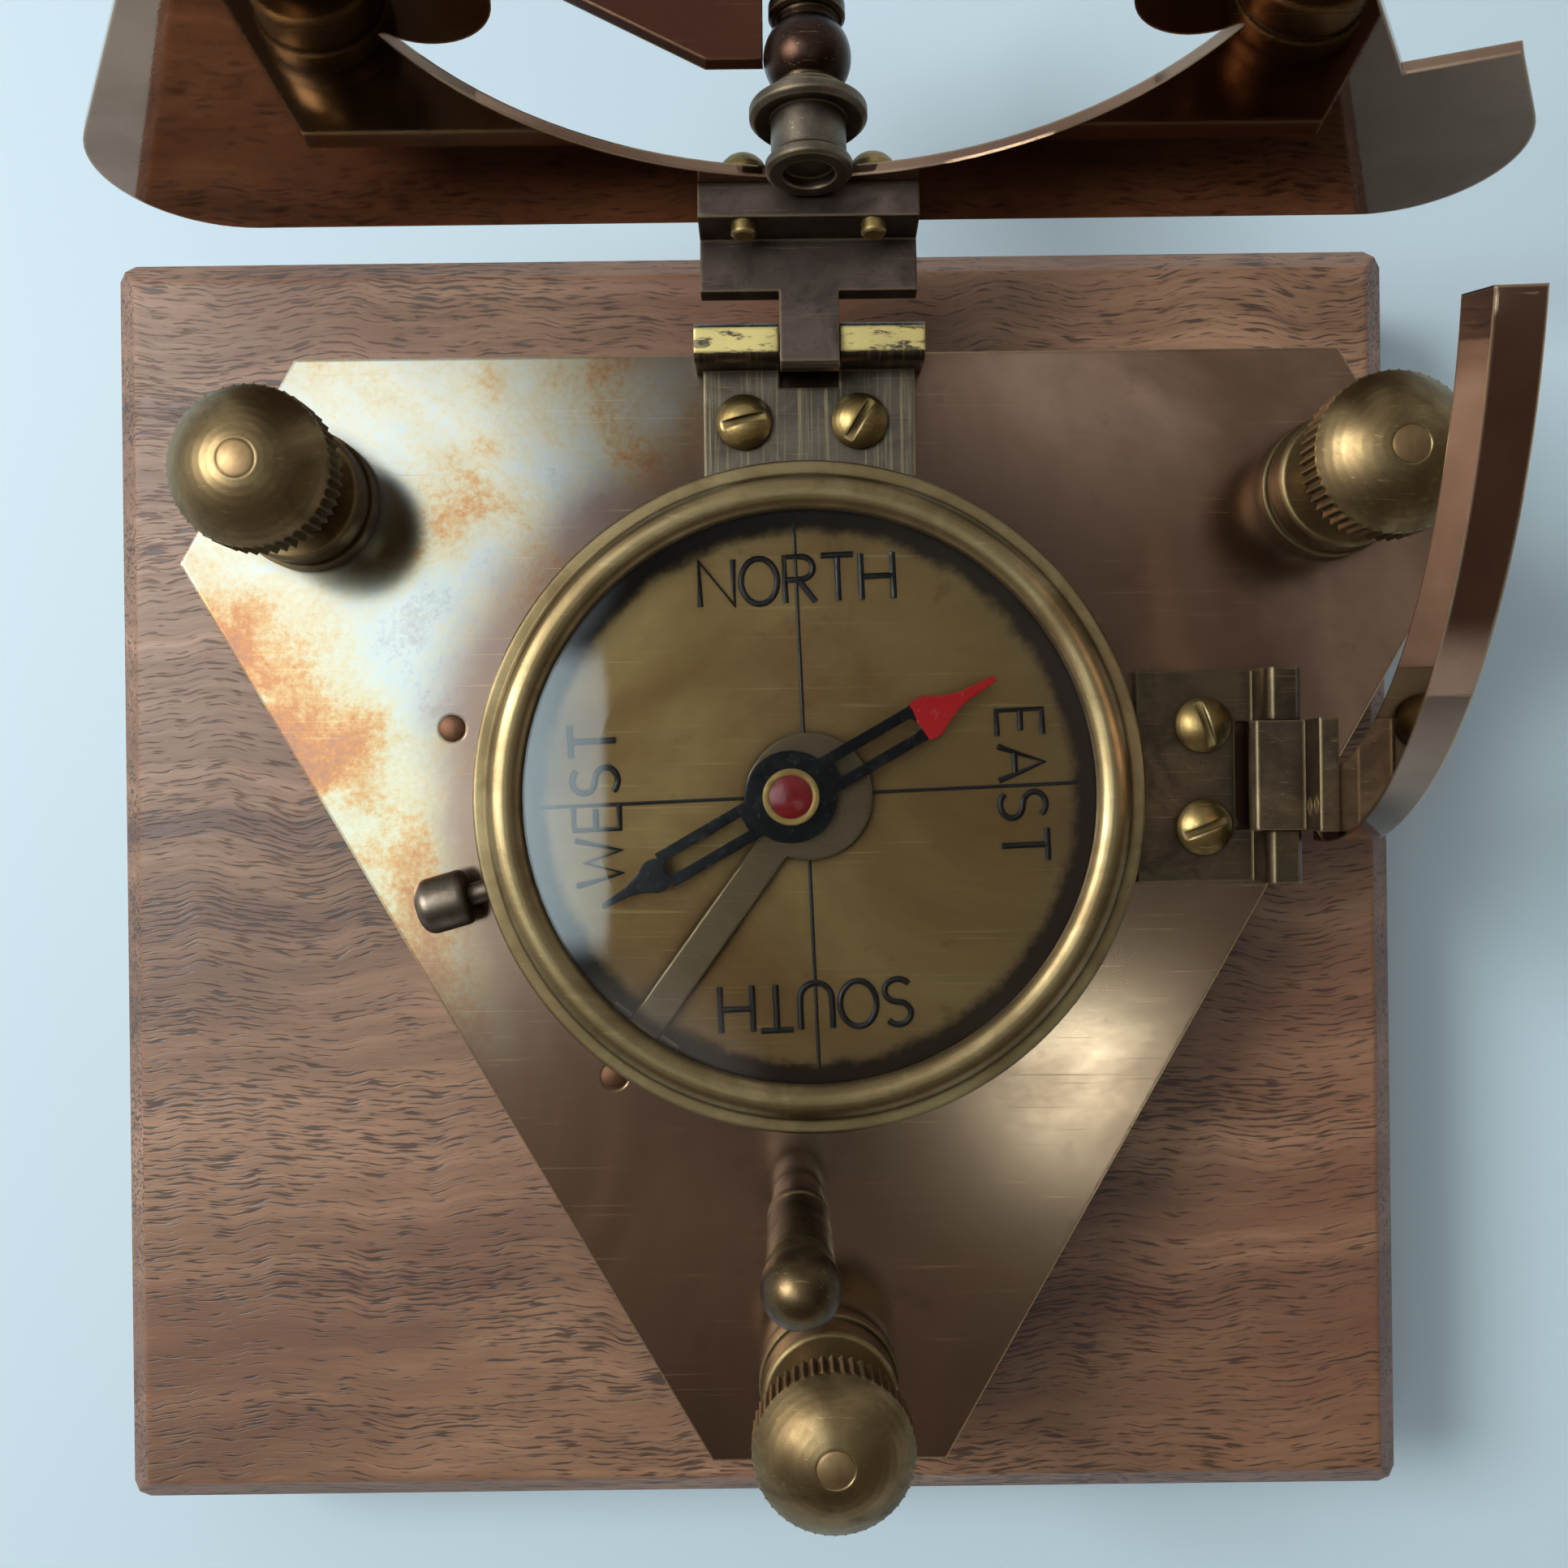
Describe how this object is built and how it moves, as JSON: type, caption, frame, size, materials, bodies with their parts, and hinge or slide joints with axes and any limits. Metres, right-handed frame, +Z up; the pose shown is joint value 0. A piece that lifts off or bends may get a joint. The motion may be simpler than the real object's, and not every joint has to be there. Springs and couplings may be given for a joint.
{
  "type": "sundial compass",
  "caption": "Triangular brass sundial on levelling screws, with a compass, a folding hour plate that carries a turning gnomon, and a folding latitude arc, on a wooden block.",
  "frame": {"origin": "middle of the wooden block's underside", "axes": "+Z up, +Y towards the compass's north and the hour plate's hinge, +X towards the latitude arc"},
  "size_m": [0.1281, 0.1553, 0.1385],
  "materials": {
    "wood": "oiled hardwood, open grain",
    "plate_brass": "polished, brown heat patina",
    "hour_brass": "mirror polished, brown patina",
    "knob_brass": "turned, aged",
    "bronze": "dark antique patina",
    "bright_brass": "rubbed bright",
    "dial_brass": "satin, olive patina",
    "needle_black": "gloss black with a red point",
    "red_enamel": "gloss red",
    "glass": "clear"
  },
  "bodies": {
    "base": {"wooden_base": "wood", "base_plate": "plate_brass", "boss_east": "knob_brass", "boss_west": "knob_brass", "boss_south": "knob_brass", "compass_case": "bronze", "compass_dial": "dial_brass", "glass_seat": "bronze", "compass_glass": "glass", "compass_bezel": "bright_brass", "needle_pivot": "bright_brass", "lifter_saddle": "bronze", "plate_rivets": "bright_brass", "north_hinge_leaf": "bronze", "north_hinge_pin": "bright_brass", "north_leaf_screws": "bright_brass", "east_hinge_leaf": "bronze", "east_hinge_pin": "bright_brass", "east_leaf_screws": "bright_brass", "catch_post": "knob_brass"},
    "compass_needle": {"needle": "needle_black", "needle_cap": "bright_brass", "needle_jewel": "red_enamel"},
    "lifter": {"needle_lifter": "bright_brass"},
    "lock": {"lock_spindle": "bronze", "lock_knob": "bronze"},
    "hour_dial": {"hour_bracket": "bronze", "bracket_screws": "bright_brass", "hour_plate": "hour_brass", "gnomon_socket": "knob_brass"},
    "gnomon": {"gnomon_rod": "knob_brass", "gnomon_blade": "bronze"},
    "latitude": {"arc_bracket": "bronze", "latitude_arc": "hour_brass", "arc_rivets": "bright_brass"},
    "levelling_screw_east": {"stud_east": "bronze", "knob_east": "knob_brass"},
    "levelling_screw_west": {"stud_west": "bronze", "knob_west": "knob_brass"},
    "levelling_screw_south": {"stud_south": "bronze", "knob_south": "knob_brass"}
  },
  "joints": [
    {"name": "hour_plate_fold", "type": "hinge", "parent": "base", "child": "hour_dial", "pos_m": [0.0055, 0.0479, 0.0362], "axis": [1, 0, 0], "range_deg": [0, 72]},
    {"name": "gnomon_turn", "type": "hinge", "parent": "hour_dial", "child": "gnomon", "pos_m": [0.0055, 0.06517, 0.04366], "axis": [0, 0.9893, -0.1461], "range_deg": [-90, 90]},
    {"name": "latitude_arc_fold", "type": "hinge", "parent": "base", "child": "latitude", "pos_m": [0.0467, 0.0092, 0.0362], "axis": [0, -1, 0], "range_deg": [-5, 80]},
    {"name": "needle_spin", "type": "hinge", "parent": "base", "child": "compass_needle", "pos_m": [0.0034, 0.0078, 0.036], "axis": [0, 0, 1], "continuous": true},
    {"name": "lock_turn", "type": "hinge", "parent": "base", "child": "lock", "pos_m": [-0.02391, -0.00022, 0.0351], "axis": [-0.9636, -0.2672, 0], "range_deg": [0, 90]},
    {"name": "lifter_tilt", "type": "hinge", "parent": "base", "child": "lifter", "pos_m": [-0.01022, -0.01315, 0.0342], "axis": [0.809, -0.5878, 0], "range_deg": [0, 1.8]},
    {"name": "levelling_east", "type": "hinge", "parent": "base", "child": "levelling_screw_east", "pos_m": [0.05236, 0.03505, 0.037], "axis": [0, 0, 1], "continuous": true},
    {"name": "levelling_west", "type": "hinge", "parent": "base", "child": "levelling_screw_west", "pos_m": [-0.03996, 0.03505, 0.037], "axis": [0, 0, 1], "continuous": true},
    {"name": "levelling_south", "type": "hinge", "parent": "base", "child": "levelling_screw_south", "pos_m": [0.0062, -0.0449, 0.037], "axis": [0, 0, 1], "continuous": true}
  ],
  "couplings": [
    {"joint": "lifter_tilt", "follows": "lock_turn", "ratio": 0.019}
  ]
}
